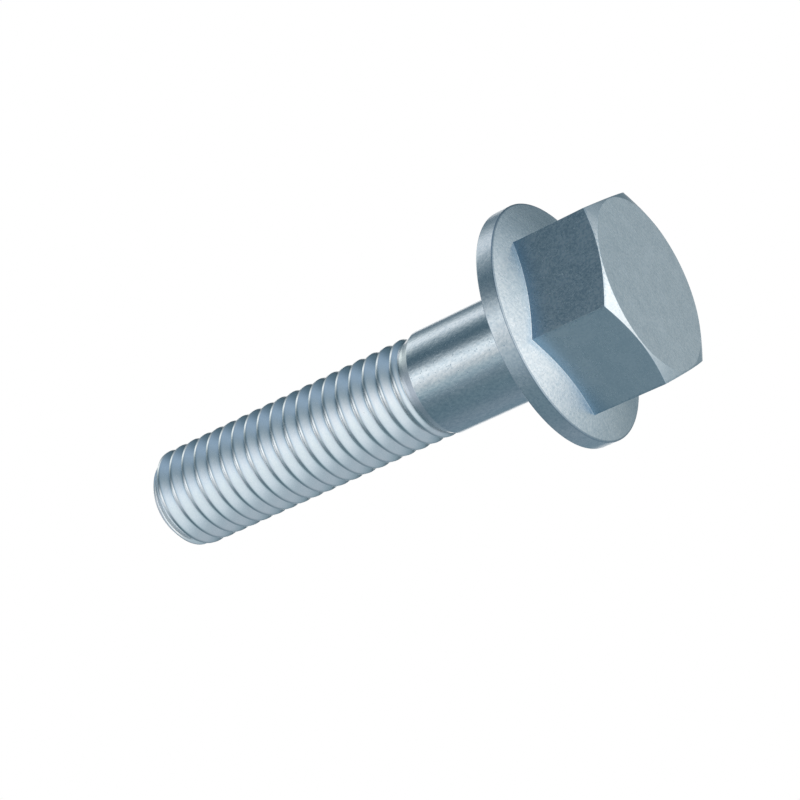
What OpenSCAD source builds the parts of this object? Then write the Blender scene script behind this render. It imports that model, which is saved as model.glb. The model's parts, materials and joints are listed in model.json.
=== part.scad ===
// Hexagon flange bolt, one cold-formed piece with a rolled right-hand thread.
// Lengths are in millimetres. The bearing face lies at z = 0, the shank points along +Z
// and the head lies below it, so that the bolt stands on the flat top of its head.

/* [Head] */
// Width across the flats of the hexagon
across_flats = 13; // [11:0.25:14]
// Height of the head, from the bearing face to its flat top
head_height = 8.14; // [6.5:0.02:10]
// Diameter of the flat circle on top of the head
top_face_d = 12.83; // [11:0.01:12.9]
// Slope of the chamfer round the top of the hexagon
chamfer_angle = 24; // [15:1:35]

/* [Flange] */
// Diameter of the flange
flange_d = 18; // [16.5:0.25:22]
// Height of the flange's straight rim
rim_height = 1.34; // [0.8:0.02:2]
// Slope of the flange's upper side, from the rim in towards the hexagon
flange_slope = 20; // [12:1:28]
// Radius that rounds both edges of the rim
rim_round = 0.1; // [0.05:0.01:0.3]

/* [Shank] */
// Diameter of the plain shank
shank_d = 8; // [7.6:0.05:9]
// Length of the plain shank, from the bearing face to where it narrows
plain_length = 9.8; // [3:0.1:20]
// Radius of the fillet between the shank and the bearing face
fillet_r = 0.4; // [0.2:0.05:1]
// Length of the bolt, from the bearing face to its tip
bolt_length = 35; // [25:1:60]

/* [Thread] */
// Distance between one crest and the next
pitch = 1.25; // [1:0.05:1.5]
// Outside diameter of the thread, over its crests
crest_d = 7.86; // [7.7:0.02:7.96]
// Diameter at which ridge and groove are equally wide, also that of the blank before rolling
pitch_d = 7.19; // [7.1:0.01:7.3]
// Diameter at the bottom of the groove
root_d = 6.47; // [6.3:0.01:6.6]
// Half the angle between a ridge's two sides
flank_angle = 30; // [25:1:32]
// Slope of the short cone between the plain shank and the thread
neck_slope = 21; // [12:1:45]
// Share of a turn over which a ridge or groove dies out towards the shank
run_out = 0.35; // [0.1:0.05:0.9]
// Diameter of the tip's end face
tip_d = 6.2; // [4:0.1:6.4]
// Slope of the chamfer at the tip
tip_angle = 45; // [30:1:60]
// How far from the tip a crest passes the +X side
crest_from_tip = 1.18; // [0:0.01:1.5]

/* [Detail] */
// Straight pieces in one turn of the thread
turn_steps = 36; // [24:2:40]

/* [Hidden] */
$fn = 120;

head_end_z = -head_height;
corner_r = across_flats / 2 / cos(30);
flange_r = flange_d / 2;
shank_r = shank_d / 2;

crest_r = crest_d / 2;
blank_r = pitch_d / 2;
root_r = root_d / 2;
tip_r = tip_d / 2;
neck_end_z = plain_length + (shank_r - blank_r) / tan(neck_slope);
first_crest_z = bolt_length - crest_from_tip;

// Half widths of a ridge's crest and of a groove's bottom, along the axis
crest_half = pitch / 4 - (crest_r - blank_r) * tan(flank_angle);
groove_half = pitch / 4 - (blank_r - root_r) * tan(flank_angle);
// Ridges die out halfway up the neck, where the thread's skin starts, and grooves at its foot
ridge_stop_z = (plain_length + neck_end_z) / 2;
groove_stop_z = neck_end_z;
skin_start_z = ridge_stop_z;
// The neck's foot stands this much proud of the blank that comes out of it
neck_step = 0.02;

// Places along one turn at which the thread's section has a corner or the middle of a side
stations = [-crest_half, crest_half, pitch / 4, pitch / 2 - groove_half, pitch / 2 + groove_half,
    pitch * 3 / 4];
rows_per_turn = len(stations);
// Whole turns that cover the thread, with one spare beyond each end
turns = ceil((bolt_length - skin_start_z) / pitch) + 3;
rows = turns * rows_per_turn;

arc_steps = 6;
hex_sides = 6;
// How far cutting shapes reach past what they cut
beyond = 1;

// Points of an arc about [x, y], from angle a to angle b
function arc(x, y, radius, a, b) =
    [for (i = [0:arc_steps]) let (t = a + (b - a) * i / arc_steps)
        [x + radius * cos(t), y + radius * sin(t)]];

// Grows smoothly from 0 at stop_z to 1 further out along the thread
function grown(z, stop_z) =
    let (t = min(max((z - stop_z) / (run_out * pitch), 0), 1)) t * t * (3 - 2 * t);

// Radius of the thread's surface at an angle and a height: ridges, grooves, run-out and tip
function thread_r(angle, z) =
    let (
        from_tip = (first_crest_z - z) / pitch + angle / 360,
        ridge_z = z + pitch * (from_tip - round(from_tip)),
        groove_z = z + pitch * (from_tip - floor(from_tip) - 0.5),
        side_r = crest_r - (abs(z - ridge_z) - crest_half) / tan(flank_angle),
        full = min(max(side_r, root_r), crest_r) - blank_r,
        rolled_r = blank_r + max(full, 0) * grown(ridge_z, ridge_stop_z)
            + min(full, 0) * grown(groove_z, groove_stop_z)
    )
    min(rolled_r, tip_r + (bolt_length - z) / tan(tip_angle));

// Height of a row of the thread's skin; rows wind along the helix, so a row rises with the step
function row_z(row, step) =
    first_crest_z + pitch * (1 + step / turn_steps - floor(row / rows_per_turn))
        - stations[row % rows_per_turn];

function skin_point(z, step) =
    let (angle = 360 * step / turn_steps, r = thread_r(angle, z))
    [r * cos(angle), r * sin(angle), z];

// Number of the vertex at a row and a step. Rows past an end share the ring there,
// and the last step joins the first one, one turn further along.
function vertex(row, step) =
    step == turn_steps ? vertex(row - rows_per_turn, 0)
    : row < 0 || row_z(row, step) >= bolt_length ? step
    : row_z(row, step) <= skin_start_z ? turn_steps + step
    : (2 + row) * turn_steps + step;

// Two triangles between neighbouring rows and steps, without those that shrink to a line
function skin_faces(row, step) =
    let (
        a = vertex(row, step),
        b = vertex(row, step + 1),
        c = vertex(row + 1, step + 1),
        d = vertex(row + 1, step)
    )
    [if (b != c) [a, b, c], if (a != d) [a, c, d]];

// Outline of everything that is turned: flange, fillet, plain shank and neck
module turned_outline() {
    slope = flange_slope;
    round_start = rim_round * tan((90 - slope) / 2);
    polygon(concat(
        [[0, neck_end_z], [blank_r + neck_step, neck_end_z], [shank_r, plain_length]],
        arc(shank_r + fillet_r, fillet_r, fillet_r, 180, 270),
        arc(flange_r - rim_round, -rim_round, rim_round, 90, 0),
        arc(flange_r - rim_round, round_start - rim_height, rim_round, 0, slope - 90),
        [[0, -rim_height - flange_r * tan(slope)]]
    ));
}

// The hexagon, cut by a cone that chamfers its corners
module hexagon() {
    reach_r = corner_r + beyond;
    intersection() {
        translate([0, 0, head_end_z])
            cylinder(r = corner_r, h = head_height - rim_height / 2, $fn = hex_sides);
        rotate_extrude()
            polygon([
                [0, 0],
                [reach_r, 0],
                [reach_r, head_end_z + (reach_r - top_face_d / 2) * tan(chamfer_angle)],
                [top_face_d / 2, head_end_z],
                [0, head_end_z]
            ]);
    }
}

// The rolled thread with its core, from inside the neck to the chamfered tip
module thread() {
    last = turn_steps - 1;
    polyhedron(
        points = concat(
            [for (step = [0:last]) skin_point(bolt_length, step)],
            [for (step = [0:last]) skin_point(skin_start_z, step)],
            [for (row = [0:rows], step = [0:last]) skin_point(row_z(row, step), step)]
        ),
        faces = concat(
            [[for (step = [0:last]) last - step]],
            [[for (step = [0:last]) turn_steps + step]],
            [for (row = [0:rows - 1], step = [0:last]) each skin_faces(row, step)]
        )
    );
}

module flange_bolt() {
    color("lightslategray")
    union() {
        hexagon();
        rotate_extrude() turned_outline();
        thread();
    }
}

flange_bolt();
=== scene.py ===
"""The looks of a zinc-plated hexagon flange bolt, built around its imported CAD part.

One closed skin stands for the bolt's solid. Its head, flange and plain shank are turned from
filleted outlines, and its rolled thread comes from a tree of Geometry Nodes. Every coordinate in
the scene is in metres, in the part's own frame: bearing face at zero, shank along +Z. Sizes in
the bolt's classes, and values whose names end in _mm, are in millimetres. Angles are in degrees
where nothing else is said.
"""

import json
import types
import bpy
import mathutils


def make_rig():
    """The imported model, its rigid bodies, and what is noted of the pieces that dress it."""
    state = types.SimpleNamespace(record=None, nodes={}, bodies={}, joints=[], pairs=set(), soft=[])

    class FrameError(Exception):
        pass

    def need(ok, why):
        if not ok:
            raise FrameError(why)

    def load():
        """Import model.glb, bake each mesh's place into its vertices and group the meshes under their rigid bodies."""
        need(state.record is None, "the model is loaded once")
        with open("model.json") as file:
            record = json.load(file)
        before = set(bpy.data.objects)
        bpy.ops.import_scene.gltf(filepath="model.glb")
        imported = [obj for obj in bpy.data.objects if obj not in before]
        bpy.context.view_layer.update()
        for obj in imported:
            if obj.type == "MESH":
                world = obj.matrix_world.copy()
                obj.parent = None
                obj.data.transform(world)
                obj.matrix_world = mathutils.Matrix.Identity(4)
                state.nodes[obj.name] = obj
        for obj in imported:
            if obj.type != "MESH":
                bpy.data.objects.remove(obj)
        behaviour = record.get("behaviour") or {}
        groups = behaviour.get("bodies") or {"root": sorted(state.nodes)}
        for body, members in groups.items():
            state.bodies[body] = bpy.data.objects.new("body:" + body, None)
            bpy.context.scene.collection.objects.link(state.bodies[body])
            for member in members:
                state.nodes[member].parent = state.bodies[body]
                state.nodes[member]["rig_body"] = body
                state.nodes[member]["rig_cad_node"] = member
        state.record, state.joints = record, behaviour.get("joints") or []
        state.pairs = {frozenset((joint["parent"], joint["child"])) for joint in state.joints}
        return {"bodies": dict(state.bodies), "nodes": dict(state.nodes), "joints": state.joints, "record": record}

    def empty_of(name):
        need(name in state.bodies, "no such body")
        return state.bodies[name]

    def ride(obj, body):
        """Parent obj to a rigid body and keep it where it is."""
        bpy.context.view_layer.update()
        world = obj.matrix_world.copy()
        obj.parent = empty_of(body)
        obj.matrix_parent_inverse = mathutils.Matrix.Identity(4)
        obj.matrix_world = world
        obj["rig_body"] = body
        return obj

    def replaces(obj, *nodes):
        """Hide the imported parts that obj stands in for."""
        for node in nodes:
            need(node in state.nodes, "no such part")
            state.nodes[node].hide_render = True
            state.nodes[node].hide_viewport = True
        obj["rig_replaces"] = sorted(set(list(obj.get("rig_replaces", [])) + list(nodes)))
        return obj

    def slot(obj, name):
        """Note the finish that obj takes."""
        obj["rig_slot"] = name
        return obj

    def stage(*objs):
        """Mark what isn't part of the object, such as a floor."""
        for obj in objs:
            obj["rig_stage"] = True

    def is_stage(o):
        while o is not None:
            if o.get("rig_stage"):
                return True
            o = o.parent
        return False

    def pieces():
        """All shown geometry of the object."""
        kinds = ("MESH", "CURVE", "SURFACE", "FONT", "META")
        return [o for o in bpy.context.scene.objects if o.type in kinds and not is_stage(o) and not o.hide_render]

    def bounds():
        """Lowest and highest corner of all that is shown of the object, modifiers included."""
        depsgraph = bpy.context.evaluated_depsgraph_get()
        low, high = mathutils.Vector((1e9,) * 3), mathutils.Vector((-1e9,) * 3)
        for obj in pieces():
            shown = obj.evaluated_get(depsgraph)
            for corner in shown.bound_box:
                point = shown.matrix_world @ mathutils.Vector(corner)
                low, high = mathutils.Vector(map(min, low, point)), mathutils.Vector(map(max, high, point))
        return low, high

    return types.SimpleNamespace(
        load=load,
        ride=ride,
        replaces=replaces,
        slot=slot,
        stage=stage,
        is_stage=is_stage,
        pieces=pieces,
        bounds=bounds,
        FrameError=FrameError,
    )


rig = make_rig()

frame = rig.load()
cad_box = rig.bounds()

import json
import logging
import math
from collections.abc import Mapping, Sequence
from dataclasses import dataclass, field
from enum import Enum
from typing import Any

import bmesh
import bpy
import numpy as np
from mathutils import Matrix, Vector

MM = 0.001
NODE = "flange_bolt"
SLOT = "zinc_plated_steel"
SIZE_FILE = "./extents.json"

# Points closer than this are one, in metres: in the rolled thread, and where the rings meet
THREAD_WELD = 1e-6
SKIN_WELD = 2e-6

# The hexagon's sides, the turn that each takes up, and the turn from its edge to its middle
SIDES = 6
SIDE_TURN = 60
HALF_SIDE = 30

Colour = tuple[float, float, float]
Point = tuple[float, float]
Socket = bpy.types.NodeSocket
Vert = bmesh.types.BMVert

WHITE: Colour = (1.0, 1.0, 1.0)

log = logging.getLogger("flange_bolt")


class Zone(Enum):
    """The differently finished areas of the bolt. The value is the area's material slot."""

    HEAD = 0
    FLANGE = 1
    SHANK = 2
    THREAD = 3


class Value:
    """A number in a node tree, for use in Python expressions. Each operator adds a Math node."""

    def __init__(self, graph: "Graph", socket: Socket) -> None:
        """Wraps an output socket of a graph's node."""
        self.graph = graph
        self.socket = socket

    def __add__(self, other: "Number") -> "Value":
        """Returns the sum."""
        return self.graph.math("ADD", self, other)

    def __sub__(self, other: "Number") -> "Value":
        """Returns the difference."""
        return self.graph.math("SUBTRACT", self, other)

    def __rsub__(self, other: "Number") -> "Value":
        """Returns the difference, with the socket taken away."""
        return self.graph.math("SUBTRACT", other, self)

    def __mul__(self, other: "Number") -> "Value":
        """Returns the product."""
        return self.graph.math("MULTIPLY", self, other)

    def __truediv__(self, other: "Number") -> "Value":
        """Returns the quotient."""
        return self.graph.math("DIVIDE", self, other)

    def __abs__(self) -> "Value":
        """Returns the value without its sign."""
        return self.graph.math("ABSOLUTE", self)

    def __round__(self) -> "Value":
        """Returns the nearest whole number."""
        return self.graph.math("ROUND", self)

    def __floor__(self) -> "Value":
        """Returns the next lower whole number."""
        return self.graph.math("FLOOR", self)

    __radd__ = __add__
    __rmul__ = __mul__


Number = Value | float


class Graph:
    """A node tree of any kind, with one method that adds a node."""

    def __init__(self, tree: bpy.types.NodeTree) -> None:
        """Starts on a tree and empties it."""
        self.tree = tree
        tree.nodes.clear()

    def add(self, kind: str, settings: Mapping[str, Any] | None = None,
            sockets: Mapping[str | int, Any] | None = None) -> bpy.types.Node:
        """Adds a node.

        Args:
            kind: The node's type, such as ShaderNodeMath.
            settings: The node's own settings, which are set first.
            sockets: What each input socket takes: a number, a colour, a value or an output.

        Returns:
            The node.
        """
        node = self.tree.nodes.new(kind)
        for name, setting in (settings or {}).items():
            setattr(node, name, setting)
        for key, content in (sockets or {}).items():
            self.feed(node.inputs[key], content)
        return node

    def feed(self, socket: Socket, content: Any) -> None:
        """Links an input socket to a value or an output, or sets it where the content is plain.

        Args:
            socket: The input socket.
            content: What it takes.
        """
        if isinstance(content, Value):
            content = content.socket
        if isinstance(content, Socket):
            self.tree.links.new(content, socket)
        else:
            socket.default_value = content

    def value(self, node: bpy.types.Node, output: str | int = 0) -> Value:
        """Returns one of a node's outputs as a value."""
        return Value(self, node.outputs[output])

    def math(self, operation: str, *operands: Number) -> Value:
        """Adds a Math node, for an operation such as SMOOTH_MIN, and returns its result."""
        settings = {"operation": operation}
        return self.value(self.add("ShaderNodeMath", settings, dict(enumerate(operands))))

    def vector(self, operation: str, *operands: Any) -> bpy.types.Node:
        """Adds a Vector Math node, whose outputs are named Vector and Value."""
        settings = {"operation": operation}
        return self.add("ShaderNodeVectorMath", settings, dict(enumerate(operands)))

    def dot(self, start: Any, end: Any) -> Value:
        """Returns the dot product of two vectors."""
        return self.value(self.vector("DOT_PRODUCT", start, end), "Value")

    def part(self, place: Socket, axis: str) -> Value:
        """Returns a vector's part along the axis X, Y or Z."""
        return self.value(self.add("ShaderNodeSeparateXYZ", None, {"Vector": place}), axis)

    def step(self, value: Number, low: float, high: float) -> Value:
        """Adds a smooth step.

        Args:
            value: What it depends on.
            low: Where it starts to rise from 0.
            high: Where it has risen to 1.

        Returns:
            The step's height.
        """
        node = self.add("ShaderNodeMapRange", {"interpolation_type": "SMOOTHSTEP"},
                        {"Value": value, "From Min": low, "From Max": high})
        return self.value(node, "Result")

    def mix(self, factor: Number, start: Any, end: Any) -> Socket:
        """Returns a colour between two others."""
        sockets = {0: factor, 6: start, 7: end}
        return self.add("ShaderNodeMix", {"data_type": "RGBA"}, sockets).outputs[2]

    def noise(self, place: Socket, grain_mm: float, detail: float) -> Value:
        """Returns a cloudy pattern around 0.

        Args:
            place: The coordinates in millimetres.
            grain_mm: The rough size of its spots.
            detail: How many finer layers it has.

        Returns:
            A value that mostly stays between -1 and 1.
        """
        node = self.add("ShaderNodeTexNoise", {"noise_dimensions": "3D"},
                        {"Vector": place, "Scale": 1 / grain_mm, "Detail": detail})
        # The texture itself mostly stays between 0.25 and 0.75
        return self.value(node, "Fac") * 4 - 2


def rgba(colour: Colour) -> tuple[float, float, float, float]:
    """Returns a colour with its alpha."""
    return (*colour, 1.0)


def new_material(name: str) -> tuple[bpy.types.Material, Graph]:
    """Makes a material.

    Args:
        name: Its name.

    Returns:
        The material, and the empty graph of its nodes.
    """
    material = bpy.data.materials.new(name)
    material.use_nodes = True
    return material, Graph(material.node_tree)


def new_object(name: str, data: bpy.types.ID) -> bpy.types.Object:
    """Makes an object at the origin of the scene.

    Args:
        name: Its name.
        data: Its mesh or camera.

    Returns:
        The object.
    """
    made = bpy.data.objects.new(name, data)
    bpy.context.scene.collection.objects.link(made)
    return made


def read(items: Any, name: str, kind: type = float, width: int = 1) -> np.ndarray:
    """Reads one property of all items of a mesh.

    Args:
        items: The mesh's points, corners or faces.
        name: The property's name.
        kind: The type of its numbers.
        width: How many numbers each item has.

    Returns:
        The numbers, in a row.
    """
    numbers = np.empty(len(items) * width, dtype=kind)
    items.foreach_get(name, numbers)
    return numbers


@dataclass(frozen=True)
class PlatedFinish:
    """Bright blue-white zinc on steel, as one area of the bolt shows it."""

    name: str
    bright: Colour = (0.88, 0.92, 0.95)
    dull: Colour = (0.60, 0.69, 0.76)
    tone: float = 0.6
    cloud_mm: float = 1.2
    cloud_tone: float = 0.08
    grain_mm: float = 0.18
    grain_tone: float = 0.6
    grain_depth_mm: float = 0.001
    pit_mm: float = 0.22
    pit_level: float = 0.85
    pit_edge: float = 0.35
    pit_tone: float = 0.6
    pit_roughness: float = 0.15
    ripple_mm: float = 0.5
    ripple_depth_mm: float = 0.0012
    roughness: float = 0.27
    roughness_spread: float = 0.03
    stretch: float = 1.0

    def material(self) -> bpy.types.Material:
        """Builds the finish.

        Returns:
            The material, with its pattern on the bolt's own coordinates.
        """
        material, graph = new_material(self.name)
        scaled = graph.vector("SCALE", graph.add("ShaderNodeTexCoord").outputs["Object"])
        scaled.inputs["Scale"].default_value = 1 / MM
        place = scaled.outputs["Vector"]
        drawn = graph.vector("MULTIPLY", place, (1.0, 1.0, 1.0 / self.stretch)).outputs["Vector"]
        clouds = graph.noise(drawn, self.cloud_mm, detail=3.0)
        grain = graph.noise(drawn, self.grain_mm, detail=2.0) * self.mottling(graph, place)
        pits = graph.step(graph.noise(place, self.pit_mm, detail=1.0),
                          self.pit_level, self.pit_level + self.pit_edge)
        ripple = graph.noise(drawn, self.ripple_mm, detail=1.0)
        tone = (self.tone + clouds * self.cloud_tone + grain * self.grain_tone
                - pits * self.pit_tone)
        colour = self.tinted(graph, place, graph.mix(tone, rgba(self.dull), rgba(self.bright)))
        rough = self.roughness + clouds * self.roughness_spread + pits * self.pit_roughness
        # Pits are twice as deep as the grain
        height = (grain * self.grain_depth_mm + ripple * self.ripple_depth_mm
                  - pits * (2 * self.grain_depth_mm))
        bump = graph.add("ShaderNodeBump", None,
                         {"Strength": 1.0, "Distance": MM, "Height": height})
        shader = graph.add("ShaderNodeBsdfPrincipled", None, {
            "Base Color": colour, "Metallic": 1.0, "Roughness": rough,
            "Normal": bump.outputs["Normal"]})
        graph.add("ShaderNodeOutputMaterial", None, {"Surface": shader.outputs["BSDF"]})
        return material

    def mottling(self, graph: Graph, place: Socket) -> Number:
        """Returns how strongly the grain shows, here the same all over."""
        return 1.0

    def tinted(self, graph: Graph, place: Socket, colour: Socket) -> Socket:
        """Returns the plating's colour, here unchanged."""
        return colour

    def depth(self, graph: Graph, place: Socket) -> Value:
        """Returns how far below the bearing face, towards the head's top, a point lies."""
        return 0.0 - graph.part(place, "Z")


@dataclass(frozen=True)
class HeadFinish(PlatedFinish):
    """Forged faces, more mottled on every second side, with painted shade: darker and bluer above the flange, and
    darker on every second side.
    """

    # Painted shade, darker and bluer, in the corner where the hexagon stands on the flange
    painted_foot_shade_tint: Colour = (0.43, 0.60, 0.75)
    corner_low_mm: float = 1.7
    corner_high_mm: float = 4.4
    dark_azimuths: tuple[float, ...] = (-30.0, 90.0, 210.0)
    dark_low_mm: float = 6.3
    dark_high_mm: float = 6.45
    # Painted shade that darkens every second side of the hexagon
    painted_side_shade_tint: Colour = (0.30, 0.43, 0.52)
    painted_side_shade_tone: float = 0.25
    top_low_mm: float = 8.0
    top_high_mm: float = 8.1
    plain_mottling: float = 0.4
    dark_mottling: float = 2.0
    top_mottling: float = 0.75

    def grainy_and_shaded_sides(self, graph: Graph, place: Socket) -> Value:
        """Marks every second side of the hexagon, which takes more grain and painted shade.

        Args:
            graph: The material's nodes.
            place: The coordinates in millimetres.

        Returns:
            A mask that is 1 on those sides.
        """
        reach: Number = 0.0
        for azimuth in map(math.radians, self.dark_azimuths):
            outward = (math.cos(azimuth), math.sin(azimuth), 0.0)
            reach = graph.math("MAXIMUM", reach, graph.dot(place, outward))
        return graph.step(reach, self.dark_low_mm, self.dark_high_mm)

    def mottling(self, graph: Graph, place: Socket) -> Number:
        """Shows more grain on every second side and on the top face.

        Args:
            graph: The material's nodes.
            place: The coordinates in millimetres.

        Returns:
            How strongly the grain shows.
        """
        top = graph.step(self.depth(graph, place), self.top_low_mm, self.top_high_mm)
        return (self.plain_mottling
                + self.grainy_and_shaded_sides(graph, place) * (self.dark_mottling - self.plain_mottling)
                + top * (self.top_mottling - self.plain_mottling))

    def tinted(self, graph: Graph, place: Socket, colour: Socket) -> Socket:
        """Adds painted shade: darker on every second side, and darker and bluer in the corner above the flange.

        Args:
            graph: The material's nodes.
            place: The coordinates in millimetres.
            colour: The plating's colour.

        Returns:
            The colour with its painted shade.
        """
        # Painted shade: darker and bluer towards the flange
        high = graph.step(self.depth(graph, place), self.corner_low_mm, self.corner_high_mm)
        corner = 1 - high
        # Painted shade: every second side is darker
        dark = self.grainy_and_shaded_sides(graph, place) * self.painted_side_shade_tone
        side_shaded = graph.mix(dark, colour, rgba(self.painted_side_shade_tint))
        return graph.mix(corner * corner, side_shaded, rgba(self.painted_foot_shade_tint))


@dataclass(frozen=True)
class FlangeFinish(PlatedFinish):
    """The turned flange, with a painted dark line of shade along the rim's edge."""

    # Painted shade: a dark line along the rim's edge
    painted_rim_shade_tint: Colour = (0.25, 0.34, 0.42)
    painted_rim_shade_tone: float = 0.7
    edge_inner_r_mm: float = 8.84
    edge_outer_r_mm: float = 8.92
    edge_low_mm: float = 1.23
    edge_high_mm: float = 1.31

    def tinted(self, graph: Graph, place: Socket, colour: Socket) -> Socket:
        """Adds a painted dark line of shade along the rim's edge to the plating's colour.

        Args:
            graph: The material's nodes.
            place: The coordinates in millimetres.
            colour: The plating's colour.

        Returns:
            The colour with its painted shade.
        """
        across = graph.vector("MULTIPLY", place, (1.0, 1.0, 0.0)).outputs["Vector"]
        radius = graph.value(graph.vector("LENGTH", across), "Value")
        # Painted shade along the rim's edge
        edge = (graph.step(radius, self.edge_inner_r_mm, self.edge_outer_r_mm)
                * graph.step(self.depth(graph, place), self.edge_low_mm, self.edge_high_mm))
        return graph.mix(edge * self.painted_rim_shade_tone, colour, rgba(self.painted_rim_shade_tint))


@dataclass(frozen=True)
class Corner:
    """A corner of an outline, the radius that rounds it, and what lies between it and the next."""

    r: float
    z: float
    radius: float = 0.0
    arc_steps: int = 5
    line_steps: int = 1
    zone: Zone = Zone.HEAD


def rounded(corners: Sequence[Corner]) -> list[tuple[float, float, Zone]]:
    """Rounds the corners of an open outline.

    Args:
        corners: The outline's corners, of which the first and the last stay sharp.

    Returns:
        Points along the outline, each with the zone of the stretch that follows it.
    """
    points: list[tuple[float, float, Zone]] = []
    last = Vector((corners[0].r, corners[0].z))
    for before, corner, after in zip(corners, corners[1:], corners[2:]):
        tip = Vector((corner.r, corner.z))
        back = (Vector((before.r, before.z)) - tip).normalized()
        ahead = (Vector((after.r, after.z)) - tip).normalized()
        half_turn = (math.pi - back.angle(ahead)) / 2
        reach = corner.radius * math.tan(half_turn)
        start = tip + back * reach
        centre = tip + (back + ahead).normalized() * math.hypot(corner.radius, reach)
        for step in range(before.line_steps):
            x, y = last.lerp(start, step / before.line_steps)
            points.append((x, y, before.zone))
        spoke = start - centre
        sense = 1 if spoke.x * back.y - spoke.y * back.x < 0 else -1
        for step in range(corner.arc_steps):
            x, y = centre + turned(spoke, sense * 2 * half_turn * step / corner.arc_steps)
            zone = corner.zone if step * 2 >= corner.arc_steps else before.zone
            points.append((x, y, zone))
        last = tip + ahead * reach
    final = Vector((corners[-1].r, corners[-1].z))
    for step in range(corners[-2].line_steps):
        x, y = last.lerp(final, step / corners[-2].line_steps)
        points.append((x, y, corners[-2].zone))
    points.append((*final, corners[-1].zone))
    return points


def turned(spoke: Vector, angle: float) -> Vector:
    """Returns a flat vector turned by an angle in radians."""
    cos, sin = math.cos(angle), math.sin(angle)
    return Vector((spoke.x * cos - spoke.y * sin, spoke.x * sin + spoke.y * cos))


class Skin:
    """The bolt's skin while it is being put together from rings of points."""

    def __init__(self) -> None:
        """Starts with no faces."""
        self.mesh = bmesh.new()

    def ring(self, angles: Sequence[float], outline: Sequence[Point]) -> list[Vert]:
        """Adds a ring of points, from their azimuths in radians and their radii and heights."""
        return [self.mesh.verts.new((r * math.cos(a) * MM, r * math.sin(a) * MM, z * MM))
                for a, (r, z) in zip(angles, outline)]

    def band(self, lower: Sequence[Vert], upper: Sequence[Vert], zone: Zone) -> None:
        """Joins two rings by a band of quads.

        Args:
            lower: The first ring.
            upper: The next ring, which has as many points.
            zone: The finish of the faces.
        """
        count = len(lower)
        for i in range(count):
            j = (i + 1) % count
            self.face([lower[i], lower[j], upper[j], upper[i]], zone)

    def cap(self, ring: Sequence[Vert], z_mm: float, zone: Zone) -> None:
        """Closes a ring with a fan around a pole on the axis.

        Args:
            ring: The ring.
            z_mm: The height of the pole.
            zone: The finish of the faces.
        """
        pole = self.mesh.verts.new((0.0, 0.0, z_mm * MM))
        for i in range(len(ring)):
            self.face([ring[i], ring[(i + 1) % len(ring)], pole], zone)

    def seam(self, outer: Sequence[Vert], outer_angles: Sequence[float],
             inner: Sequence[Vert], inner_angles: Sequence[float], zone: Zone) -> None:
        """Joins two rings in one plane, of which the outer has more points.

        Args:
            outer: The ring with more points.
            outer_angles: Its azimuths, which contain those of the inner ring.
            inner: The other ring.
            inner_angles: Its azimuths.
            zone: The finish of the faces.
        """
        at = {round(a, 6): i for i, a in enumerate(outer_angles)}
        starts = [at[round(a, 6)] for a in inner_angles]
        for i, start in enumerate(starts):
            j = (i + 1) % len(starts)
            end = starts[j] if j else len(outer)
            run = [outer[k % len(outer)] for k in range(start, end + 1)]
            self.face(run + [inner[j], inner[i]], zone)

    def face(self, corners: Sequence[Vert], zone: Zone) -> None:
        """Adds one face."""
        self.dress(self.mesh.faces.new(corners), zone)

    def dress(self, face: bmesh.types.BMFace, zone: Zone) -> None:
        """Makes a face smooth and gives it a zone's material."""
        face.material_index = zone.value
        face.smooth = True

    def add(self, mesh: bpy.types.Mesh, zone: Zone) -> None:
        """Takes in the faces of a finished mesh.

        Args:
            mesh: The mesh.
            zone: The finish of its faces.
        """
        known = len(self.mesh.faces)
        self.mesh.from_mesh(mesh)
        self.mesh.faces.ensure_lookup_table()
        for face in self.mesh.faces[known:]:
            self.dress(face, zone)

    def close(self, name: str) -> bpy.types.Mesh:
        """Welds the rings that meet and turns every face outwards.

        Args:
            name: The mesh's name.

        Returns:
            The closed mesh.
        """
        bmesh.ops.remove_doubles(self.mesh, verts=self.mesh.verts, dist=SKIN_WELD)
        bmesh.ops.recalc_face_normals(self.mesh, faces=self.mesh.faces)
        open_edges = sum(not edge.is_manifold for edge in self.mesh.edges)
        log.info("%s: %d faces, %d open edges", name, len(self.mesh.faces), open_edges)
        mesh = bpy.data.meshes.new(name)
        self.mesh.to_mesh(mesh)
        self.mesh.free()
        return mesh


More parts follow.
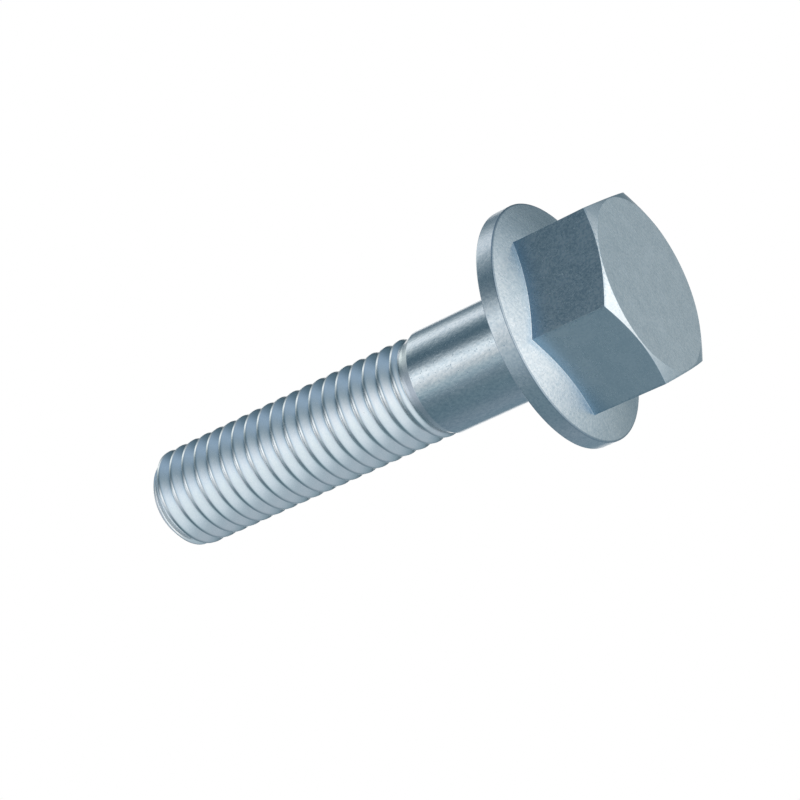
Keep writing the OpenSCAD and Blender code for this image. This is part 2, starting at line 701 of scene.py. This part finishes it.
@dataclass
class HexHead:
    """The hexagon with its chamfered top and the flange it stands on."""

    across_flats: float = 13.0
    head_height: float = 8.14
    top_face_d: float = 12.83
    chamfer_angle: float = 24.0
    flange_d: float = 18.0
    rim_height: float = 1.34
    flange_slope: float = 20.0
    side_round: float = 0.008
    chamfer_round: float = 0.05
    top_round: float = 0.1
    foot_round: float = 0.06
    rim_round: float = 0.08
    edge_round: float = 0.1
    seam_r: float = 8.0
    pole_share: float = 0.25
    round_columns: tuple[float, ...] = (0.33, 0.66, 1.0)
    flat_column: float = 1.1

    def angles(self, columns: int) -> list[float]:
        """Spreads the columns round the head.

        Args:
            columns: The even columns, a multiple of six.

        Returns:
            The azimuths in radians, with more of them at the rounded edges of the hexagon.
        """
        contact = self.contact_angle()
        beside = [contact * share for share in self.round_columns] + [self.flat_column]
        extra = [sense * turn for turn in beside for sense in (-1, 1)]
        even = [360 * i / columns for i in range(columns)]
        edges = [(SIDE_TURN * side + turn) % 360 for side in range(SIDES) for turn in extra]
        return [math.radians(a) for a in sorted(even + edges)]

    def round_centre(self) -> float:
        """Returns the radius on which the centres of the edges' roundings lie."""
        return (self.across_flats / 2 - self.side_round) / math.cos(math.radians(HALF_SIDE))

    def contact_angle(self) -> float:
        """Finds where the rounding of a hexagon's edge meets its flat sides.

        Returns:
            The turn from the edge's middle to there.
        """
        across = self.side_round * math.sin(math.radians(HALF_SIDE))
        along = self.side_round * math.cos(math.radians(HALF_SIDE))
        return math.degrees(math.atan2(across, self.round_centre() + along))

    def hexagon_r(self, angle: float) -> float:
        """Gives the hexagon's radius at an azimuth.

        Args:
            angle: The azimuth in radians, which is 0 at one of the six edges.

        Returns:
            The radius, with the edge rounded.
        """
        turn = (math.degrees(angle) + HALF_SIDE) % SIDE_TURN - HALF_SIDE
        if abs(turn) >= self.contact_angle():
            return self.across_flats / 2 / math.cos(math.radians(HALF_SIDE - abs(turn)))
        centre = self.round_centre()
        offset = centre * math.sin(math.radians(turn))
        return (centre * math.cos(math.radians(turn))
                + math.sqrt(self.side_round ** 2 - offset ** 2))

    def outline(self, angle: float) -> list[tuple[float, float, Zone]]:
        """Cuts the head along one azimuth.

        Args:
            angle: The azimuth in radians.

        Returns:
            Points from the bearing face round the rim and along the hexagon to the top face.
        """
        rim_r = self.flange_d / 2
        side_r = self.hexagon_r(angle)
        top_r = self.top_face_d / 2
        foot_z = -self.rim_height - (rim_r - side_r) * math.tan(math.radians(self.flange_slope))
        chamfer = (side_r - top_r) * math.tan(math.radians(self.chamfer_angle))
        return rounded([
            Corner(self.seam_r, 0.0, line_steps=2, zone=Zone.FLANGE),
            Corner(rim_r, 0.0, self.edge_round, arc_steps=4, line_steps=2, zone=Zone.FLANGE),
            Corner(rim_r, -self.rim_height, self.rim_round, line_steps=4, zone=Zone.FLANGE),
            Corner(side_r, foot_z, self.foot_round, arc_steps=6, line_steps=6),
            Corner(side_r, chamfer - self.head_height, self.chamfer_round, line_steps=2),
            Corner(top_r, -self.head_height, self.top_round, arc_steps=3, line_steps=4),
            Corner(top_r * self.pole_share, -self.head_height),
        ])

    def build(self, skin: Skin, columns: int) -> tuple[list[Vert], list[float]]:
        """Adds the head to the skin.

        Args:
            skin: The bolt's skin.
            columns: The even columns of the whole bolt.

        Returns:
            The open ring on the bearing face, and its azimuths.
        """
        angles = self.angles(columns)
        outlines = [self.outline(a) for a in angles]
        rings = [skin.ring(angles, [(r, z) for r, z, _ in row]) for row in zip(*outlines)]
        zones = [zone for _, _, zone in outlines[0]]
        for lower, upper, zone in zip(rings, rings[1:], zones):
            skin.band(lower, upper, zone)
        skin.cap(rings[-1], -self.head_height, Zone.HEAD)
        return rings[0], angles


@dataclass
class PlainShank:
    """The plain part of the shank with its fillet."""

    shank_d: float = 8.0
    plain_length: float = 9.8
    fillet_r: float = 0.4
    foot_r: float = 5.0
    fillet_rings: int = 8
    rings: int = 12

    def build(self, skin: Skin, angles: Sequence[float]) -> list[Vert]:
        """Adds the fillet and the plain shank to the skin.

        Args:
            skin: The bolt's skin.
            angles: The azimuths of the columns.

        Returns:
            The ring on the bearing face from which the fillet rises.
        """
        radius = self.shank_d / 2
        outline = rounded([
            Corner(self.foot_r, 0.0, line_steps=2, zone=Zone.SHANK),
            Corner(radius, 0.0, self.fillet_r, self.fillet_rings, self.rings, Zone.SHANK),
            Corner(radius, self.plain_length, zone=Zone.SHANK),
        ])
        rings = [skin.ring(angles, [(r, z)] * len(angles)) for r, z, _ in outline]
        for lower, upper in zip(rings, rings[1:]):
            skin.band(lower, upper, Zone.SHANK)
        return rings[0]


@dataclass
class RolledThread:
    """The neck, the rolled thread and the chamfered tip."""

    shank_r: float = 4.0
    plain_length: float = 9.8
    bolt_length: float = 35.0
    pitch: float = 1.25
    crest_r: float = 3.93
    blank_r: float = 3.595
    root_r: float = 3.235
    flank_angle: float = 30.0
    neck_slope: float = 21.0
    run_out: float = 0.35
    tip_r: float = 3.1
    crest_from_tip: float = 1.18
    crest_round: float = 0.07
    root_round: float = 0.22
    neck_round: float = 0.05
    rows_per_turn: int = 20
    row_evenness: float = 0.3
    end_rings: tuple[float, ...] = (1.0, 0.9, 0.3)

    def sizes(self, columns: int) -> dict[str, float | int]:
        """Names the tree's inputs.

        Args:
            columns: The columns round the thread.

        Returns:
            Each input's value, in metres where it is a length.
        """
        tangent = math.tan(math.radians(self.flank_angle))
        slope = math.tan(math.radians(self.neck_slope))
        neck_end = self.plain_length + (self.shank_r - self.blank_r) / slope
        first_crest = self.bolt_length - self.crest_from_tip
        before = math.ceil((first_crest - self.plain_length) / self.pitch) + 1
        after = math.ceil(self.crest_from_tip / self.pitch)
        lengths = {
            "Shank Radius": self.shank_r, "Crest Radius": self.crest_r,
            "Blank Radius": self.blank_r, "Root Radius": self.root_r, "Tip Radius": self.tip_r,
            "Pitch": self.pitch,
            "Crest Half Width": self.pitch / 4 - (self.crest_r - self.blank_r) * tangent,
            "Neck Start": self.plain_length, "Neck End": neck_end,
            "Ridge Stop": (self.plain_length + neck_end) / 2, "First Crest": first_crest,
            "Bolt Length": self.bolt_length, "Crest Round": self.crest_round,
            "Root Round": self.root_round, "Neck Round": self.neck_round,
        }
        return {name: length * MM for name, length in lengths.items()} | {
            "Flank Tangent": tangent, "Neck Slope": slope, "Run-out Turns": self.run_out,
            "Row Evenness": self.row_evenness, "Columns": columns,
            "Rows": self.rows_per_turn * (before + after), "Turns": before + after,
            "Turns Before": before,
        }

    def tree(self, sizes: Mapping[str, float | int],
             finish: bpy.types.Material) -> bpy.types.NodeTree:
        """Builds the tree that rolls the thread.

        Args:
            sizes: The named inputs, which give each socket's kind.
            finish: The material of the result.

        Returns:
            The tree. Its grid's columns go round the axis, and its rows follow the ridges.
        """
        tree = bpy.data.node_groups.new("rolled_thread", "GeometryNodeTree")
        for name, size in sizes.items():
            kind = "NodeSocketInt" if isinstance(size, int) else "NodeSocketFloat"
            tree.interface.new_socket(name, in_out="INPUT", socket_type=kind)
        tree.interface.new_socket("Geometry", in_out="OUTPUT",
                                  socket_type="NodeSocketGeometry")
        graph = Graph(tree)
        given = graph.add("NodeGroupInput")
        size = {name: graph.value(given, name) for name in sizes}
        grid = graph.add("GeometryNodeMeshGrid", None, {
            "Size X": 1.0, "Size Y": 1.0,
            "Vertices X": size["Columns"] + 1, "Vertices Y": size["Rows"] + 1})
        # The grid is one metre wide round the origin, so half a metre more counts from its edge
        spot = graph.add("GeometryNodeInputPosition").outputs[0]
        angle = graph.part(spot, "X") + 0.5
        turn = (graph.part(spot, "Y") + 0.5) * size["Turns"] - size["Turns Before"]
        # Rows are crowded at crests and roots, twice a turn
        swing = 4 * math.pi
        crowded = graph.math("SINE", turn * swing) * size["Row Evenness"] / swing
        row_z = size["First Crest"] + size["Pitch"] * (turn - crowded + angle)
        z = graph.math("MINIMUM", graph.math("MAXIMUM", row_z, size["Neck Start"]),
                       size["Bolt Length"])
        radius = self.radius(graph, size, angle, z)
        place = graph.add("ShaderNodeCombineXYZ", None, {
            "X": radius * graph.math("COSINE", angle * math.tau),
            "Y": radius * graph.math("SINE", angle * math.tau), "Z": z})
        skin = graph.add("GeometryNodeSetPosition", None, {
            "Geometry": grid.outputs["Mesh"], "Position": place.outputs["Vector"]})
        welded = graph.add("GeometryNodeMergeByDistance", None, {
            "Geometry": skin.outputs["Geometry"], "Distance": THREAD_WELD})
        real = graph.add("GeometryNodeRealizeInstances", None, {
            "Geometry": welded.outputs["Geometry"]})
        dressed = graph.add("GeometryNodeSetMaterial", None, {
            "Geometry": real.outputs["Geometry"], "Material": finish})
        graph.add("NodeGroupOutput", None, {"Geometry": dressed.outputs["Geometry"]})
        return tree

    def radius(self, graph: Graph, size: Mapping[str, Value], angle: Value, z: Value) -> Value:
        """Gives the thread's radius.

        Args:
            graph: The tree's nodes.
            size: The tree's named inputs.
            angle: The azimuth, in turns.
            z: The height above the bearing face.

        Returns:
            The radius, with ridges and grooves, their run-out, the neck and the chamfered tip.
        """
        pitch, blank, crest = size["Pitch"], size["Blank Radius"], size["Crest Radius"]
        from_tip = (size["First Crest"] - z) / pitch + angle
        # Ridges lie whole turns from the crest nearest to the tip, and grooves half a turn on
        ridge_z = z + pitch * (from_tip - round(from_tip))
        groove_z = z + pitch * (from_tip - math.floor(from_tip) - 0.5)
        from_ridge = abs(z - ridge_z) - size["Crest Half Width"]
        flank = crest - from_ridge / size["Flank Tangent"]
        rooted = graph.math("SMOOTH_MAX", flank, size["Root Radius"], size["Root Round"])
        full = graph.math("SMOOTH_MIN", rooted, crest, size["Crest Round"]) - blank
        fade = size["Run-out Turns"] * pitch
        ridge_share = self.grown(graph, (ridge_z - size["Ridge Stop"]) / fade)
        groove_share = self.grown(graph, (groove_z - size["Neck End"]) / fade)
        ridge = graph.math("MAXIMUM", full, 0.0) * ridge_share
        groove = graph.math("MINIMUM", full, 0.0) * groove_share
        neck = size["Shank Radius"] - (z - size["Neck Start"]) * size["Neck Slope"]
        rolled = graph.math("SMOOTH_MAX", blank + ridge + groove, neck, size["Neck Round"])
        tip = size["Tip Radius"] + size["Bolt Length"] - z
        return graph.math("SMOOTH_MIN", rolled, tip, size["Neck Round"])

    def grown(self, graph: Graph, share: Value) -> Value:
        """Returns how much of its height a ridge has, from 0 where it dies out to 1."""
        return graph.step(share, 0.0, 1.0)

    def build(self, skin: Skin, angles: Sequence[float], finish: bpy.types.Material) -> None:
        """Adds the thread and the bolt's flat end to the skin.

        Args:
            skin: The bolt's skin.
            angles: The azimuths of the columns.
            finish: The thread's material.
        """
        sizes = self.sizes(len(angles))
        blank = new_object("thread_blank", bpy.data.meshes.new("thread_blank"))
        roll = blank.modifiers.new("roll", "NODES")
        roll.node_group = self.tree(sizes, finish)
        for socket in roll.node_group.interface.items_tree:
            if socket.in_out == "INPUT":
                roll[socket.identifier] = sizes[socket.name]
        evaluated = blank.evaluated_get(bpy.context.evaluated_depsgraph_get())
        made = bpy.data.meshes.new_from_object(evaluated)
        skin.add(made, Zone.THREAD)
        log.info("thread: %d faces", len(made.polygons))
        bpy.data.objects.remove(blank)
        rings = [skin.ring(angles, [(self.tip_r * share, self.bolt_length)] * len(angles))
                 for share in self.end_rings]
        for outer, inner in zip(rings, rings[1:]):
            skin.band(outer, inner, Zone.THREAD)
        skin.cap(rings[-1], self.bolt_length, Zone.THREAD)


@dataclass
class FlangeBolt:
    """The whole bolt as one closed skin."""

    head: HexHead = field(default_factory=HexHead)
    shank: PlainShank = field(default_factory=PlainShank)
    thread: RolledThread = field(default_factory=RolledThread)
    columns: int = 168
    ridge_softness: float = 0.8
    soft_past_neck: float = 0.6
    soft_before_tip: float = 0.85
    near_axis: float = 0.1
    finishes: Mapping[Zone, PlatedFinish] = field(default_factory=lambda: {
        Zone.HEAD: HeadFinish("zinc_forged_head"),
        Zone.FLANGE: FlangeFinish("zinc_forged_flange", grain_tone=0.5, ripple_depth_mm=0.002),
        Zone.SHANK: PlatedFinish("zinc_drawn_shank", grain_tone=0.5, grain_depth_mm=0.0014,
                                 ripple_depth_mm=0.0022, roughness=0.2, pit_mm=0.14,
                                 pit_level=0.66, pit_tone=0.6, stretch=1.6),
        Zone.THREAD: PlatedFinish("zinc_rolled_thread", bright=(0.96, 0.975, 0.98),
                                  dull=(0.9, 0.93, 0.95), roughness=0.22,
                                  grain_depth_mm=0.0, pit_tone=0.2),
    })

    def build(self) -> bpy.types.Object:
        """Builds the bolt's piece.

        Returns:
            The object, at the origin.
        """
        materials = {zone: self.finishes[zone].material() for zone in Zone}
        skin = Skin()
        even = [math.tau * i / self.columns for i in range(self.columns)]
        rim, rim_angles = self.head.build(skin, self.columns)
        foot = self.shank.build(skin, even)
        skin.seam(rim, rim_angles, foot, even, Zone.FLANGE)
        self.thread.build(skin, even, materials[Zone.THREAD])
        mesh = skin.close("bolt_skin")
        for zone in Zone:
            mesh.materials.append(materials[zone])
        self.set_normals(mesh)
        return new_object("bolt_skin", mesh)

    def set_normals(self, mesh: bpy.types.Mesh) -> None:
        """Sets each point's normal, so that flat faces shade flat up to their rounding.

        Args:
            mesh: The skin, whose faces weigh in by their areas.
        """
        areas = read(mesh.polygons, "area")
        normals = read(mesh.polygons, "normal", width=3).reshape(-1, 3)
        counts = read(mesh.polygons, "loop_total", int)
        corners = read(mesh.loops, "vertex_index", int)
        points = np.zeros((len(mesh.vertices), 3))
        np.add.at(points, corners, np.repeat(normals * areas[:, None], counts, axis=0))
        points /= np.linalg.norm(points, axis=1, keepdims=True)
        points += self.softening(mesh)
        points /= np.linalg.norm(points, axis=1, keepdims=True)
        mesh.normals_split_custom_set_from_vertices(points.tolist())

    def softening(self, mesh: bpy.types.Mesh) -> np.ndarray:
        """Leans the normals of the rolled ridges outwards, as plating that rounds them does.

        Args:
            mesh: The skin.

        Returns:
            What is added to each point's normal.
        """
        places = read(mesh.vertices, "co", width=3).reshape(-1, 3) / MM
        heights = places[:, 2]
        ridged = ((heights > self.thread.plain_length + self.soft_past_neck)
                  & (heights < self.thread.bolt_length - self.soft_before_tip))
        outward = places * (1.0, 1.0, 0.0)
        outward /= np.maximum(np.linalg.norm(outward, axis=1, keepdims=True), self.near_axis)
        return outward * (ridged * self.ridge_softness)[:, None]


@dataclass(frozen=True)
class SoftLight:
    """A soft round light, far away: where it stands, how tight it is, its colour at the middle."""

    azimuth: float
    elevation: float
    tightness: float
    colour: Colour

    def direction(self) -> Vector:
        """Returns the direction in which the light stands."""
        a, e = math.radians(self.azimuth), math.radians(self.elevation)
        return Vector((math.cos(a) * math.cos(e), math.sin(a) * math.cos(e), math.sin(e)))


@dataclass(frozen=True)
class Studio:
    """The light tent round the bolt, the white background, the pale floor and the camera."""

    ambient: Colour = (0.0, 0.038, 0.064)
    lights: tuple[SoftLight, ...] = (
        SoftLight(330, 31, 36.5, (0.87, 0.88, 0.87)),
        SoftLight(94, -81, 7.6, (0.79, 0.75, 0.7)),
        SoftLight(50, 39, 21.1, (0.67, 0.73, 0.68)),
        SoftLight(315, 57, 13.9, (0.55, 0.57, 0.63)),
        SoftLight(310, -38, 3.3, (0.47, 0.55, 0.54)),
        SoftLight(304, -87, 5.1, (0.55, 0.47, 0.43)),
        SoftLight(236, -58, 38.5, (0.62, 0.49, 0.35)),
        SoftLight(330, -60, 15.0, (0.62, 0.35, 0.21)),
        SoftLight(49, 28, 40.0, (0.36, 0.3, 0.31)),
        SoftLight(119, 65, 6.1, (0.29, 0.29, 0.32)),
        SoftLight(43, -7, 7.9, (0.22, 0.28, 0.37)),
        SoftLight(292, 3, 15.0, (0.3, 0.25, 0.29)),
        SoftLight(114, -43, 26.0, (0.2, 0.29, 0.35)),
        SoftLight(176, -26, 1.5, (0.21, 0.29, 0.33)),
        SoftLight(253, -9, 7.3, (0.2, 0.24, 0.25)),
        SoftLight(312, 30, 40.0, (0.26, 0.21, 0.17)),
        SoftLight(255, -42, 6.5, (0.21, 0.18, 0.21)),
        SoftLight(20, -60, 15.0, (0.12, 0.17, 0.18)),
        SoftLight(328, -22, 8.4, (0.09, 0.12, 0.22)),
        SoftLight(195, 0, 7.5, (0.17, 0.13, 0.13)),
        SoftLight(295, 30, 40.0, (0.1, 0.16, 0.16)),
        SoftLight(130, -28, 8.7, (0.14, 0.09, 0.05)),
    )
    tent_radius: float = 4.0
    tent_subdivisions: int = 4
    opening: float = 20.0
    opening_edge: float = 5.0
    floor_z_mm: float = -8.16
    floor_width: float = 3.0
    floor_colour: Colour = (0.9, 0.9, 0.9)
    floor_glow: Colour = (0.5, 0.5, 0.5)
    camera_place_mm: tuple[float, float, float] = (72.78, -122.80, -67.24)
    camera_right: tuple[float, float, float] = (-0.59085, 0.16834, -0.78903)
    camera_down: tuple[float, float, float] = (-0.67371, -0.64100, 0.36774)
    camera_forward: tuple[float, float, float] = (-0.44387, 0.74885, 0.49214)
    lens_mm: float = 101.32
    sensor_mm: float = 36.0

    def background(self) -> None:
        """Shows the white background to the camera, in the metal and through glass."""
        world = bpy.data.worlds.new("white_background")
        bpy.context.scene.world = world
        world.use_nodes = True
        graph = Graph(world.node_tree)
        dim, white = (graph.add("ShaderNodeBackground", None, {"Color": rgba(colour)})
                      for colour in (self.ambient, WHITE))
        self.blend(graph, "ShaderNodeOutputWorld", self.shown(graph), dim, white)

    def blend(self, graph: Graph, output: str, factor: Any, start: bpy.types.Node,
              end: bpy.types.Node) -> None:
        """Mixes two shaders into a material's or a world's output.

        Args:
            graph: Its nodes.
            output: The type of the output node.
            factor: The second shader's share.
            start: The first shader.
            end: The second shader.
        """
        mixed = graph.add("ShaderNodeMixShader", None,
                          {0: factor, 1: start.outputs[0], 2: end.outputs[0]})
        graph.add(output, None, {"Surface": mixed.outputs[0]})

    def shown(self, graph: Graph) -> Value:
        """Marks what is seen, by the camera, in metal or through glass.

        Args:
            graph: A material's or the world's nodes.

        Returns:
            A mask that is 0 for all other light.
        """
        rays = graph.add("ShaderNodeLightPath")
        camera, glossy, transmission = (graph.value(rays, f"Is {kind} Ray")
                                        for kind in ("Camera", "Glossy", "Transmission"))
        return camera + glossy + transmission

    def tent(self) -> bpy.types.Object:
        """Hangs the light tent round the bolt.

        Returns:
            The tent. Its cloth glows softly and is open in front of the background, and the
            camera looks through it.
        """
        mesh = bpy.data.meshes.new("light_tent")
        cloth = bmesh.new()
        bmesh.ops.create_icosphere(cloth, subdivisions=self.tent_subdivisions,
                                   radius=self.tent_radius)
        cloth.to_mesh(mesh)
        cloth.free()
        material, graph = new_material("tent_cloth")
        place = graph.add("ShaderNodeTexCoord").outputs["Object"]
        toward = graph.vector("NORMALIZE", place).outputs["Vector"]
        glow: Any = self.ambient
        for light in self.lights:
            off = graph.dot(toward, light.direction()) - 1
            share = graph.math("EXPONENT", off * light.tightness)
            glow = graph.vector("MULTIPLY_ADD", share, light.colour, glow).outputs["Vector"]
        inner, outer = (math.cos(math.radians(self.opening + turn))
                        for turn in (-self.opening_edge, self.opening_edge))
        facing = graph.dot(toward, Vector(self.camera_forward).normalized())
        self.blend(graph, "ShaderNodeOutputMaterial", graph.step(facing, outer, inner),
                   graph.add("ShaderNodeEmission", None, {"Color": glow}),
                   graph.add("ShaderNodeBsdfTransparent"))
        mesh.materials.append(material)
        tent = new_object("light_tent", mesh)
        tent.visible_camera = False
        return tent

    def floor(self) -> bpy.types.Object:
        """Lays the pale floor, which only the camera sees, and only from above.

        Returns:
            The floor.
        """
        half = self.floor_width / 2
        corners = ((-half, -half), (half, -half), (half, half), (-half, half))
        mesh = bpy.data.meshes.new("floor")
        mesh.from_pydata([(x, y, self.floor_z_mm * MM) for x, y in corners], [], [(0, 1, 2, 3)])
        material, graph = new_material("pale_floor")
        matt = graph.add("ShaderNodeBsdfDiffuse", None, {"Color": rgba(self.floor_colour)})
        glow = graph.add("ShaderNodeEmission", None, {
            "Color": rgba(self.floor_glow), "Strength": self.shown(graph)})
        lit = graph.add("ShaderNodeAddShader", None, {0: matt.outputs[0], 1: glow.outputs[0]})
        below = graph.add("ShaderNodeNewGeometry").outputs["Backfacing"]
        self.blend(graph, "ShaderNodeOutputMaterial", below, lit,
                   graph.add("ShaderNodeBsdfTransparent"))
        mesh.materials.append(material)
        floor = new_object("floor", mesh)
        floor.visible_diffuse = floor.visible_glossy = False
        floor.visible_transmission = floor.visible_shadow = False
        return floor

    def camera(self) -> bpy.types.Object:
        """Sets the camera at the photograph's viewing angle.

        Returns:
            The camera.
        """
        data = bpy.data.cameras.new("camera")
        data.sensor_width = self.sensor_mm
        data.lens = self.lens_mm
        data.clip_start = MM
        camera = new_object("camera", data)
        right, down, forward = map(
            Vector, (self.camera_right, self.camera_down, self.camera_forward))
        turn = Matrix((right, -down, -forward)).transposed().to_4x4()
        camera.matrix_world = Matrix.Translation(Vector(self.camera_place_mm) * MM) @ turn
        bpy.context.scene.camera = camera
        return camera


def write_sizes() -> None:
    """Writes the CAD's box and the dressed bolt's box."""
    boxes = {"cad": cad_box, "visual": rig.bounds()}
    with open(SIZE_FILE, "w") as file:
        json.dump({name: [list(corner) for corner in box] for name, box in boxes.items()}, file)


def main() -> None:
    """Builds the bolt and the studio round it."""
    logging.basicConfig(level=logging.INFO, format="%(name)s: %(message)s")
    bolt = FlangeBolt().build()
    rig.ride(bolt, "root")
    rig.replaces(bolt, NODE)
    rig.slot(bolt, SLOT)
    log.info("%s: %d faces", bolt.name, len(bolt.data.polygons))
    studio = Studio()
    studio.background()
    for prop in (studio.tent(), studio.floor()):
        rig.stage(prop)
        log.info("%s stands", prop.name)
    log.info("%s looks on", studio.camera().name)
    bpy.context.scene.view_settings.view_transform = "Standard"
    write_sizes()


if __name__ == "__main__":
    main()
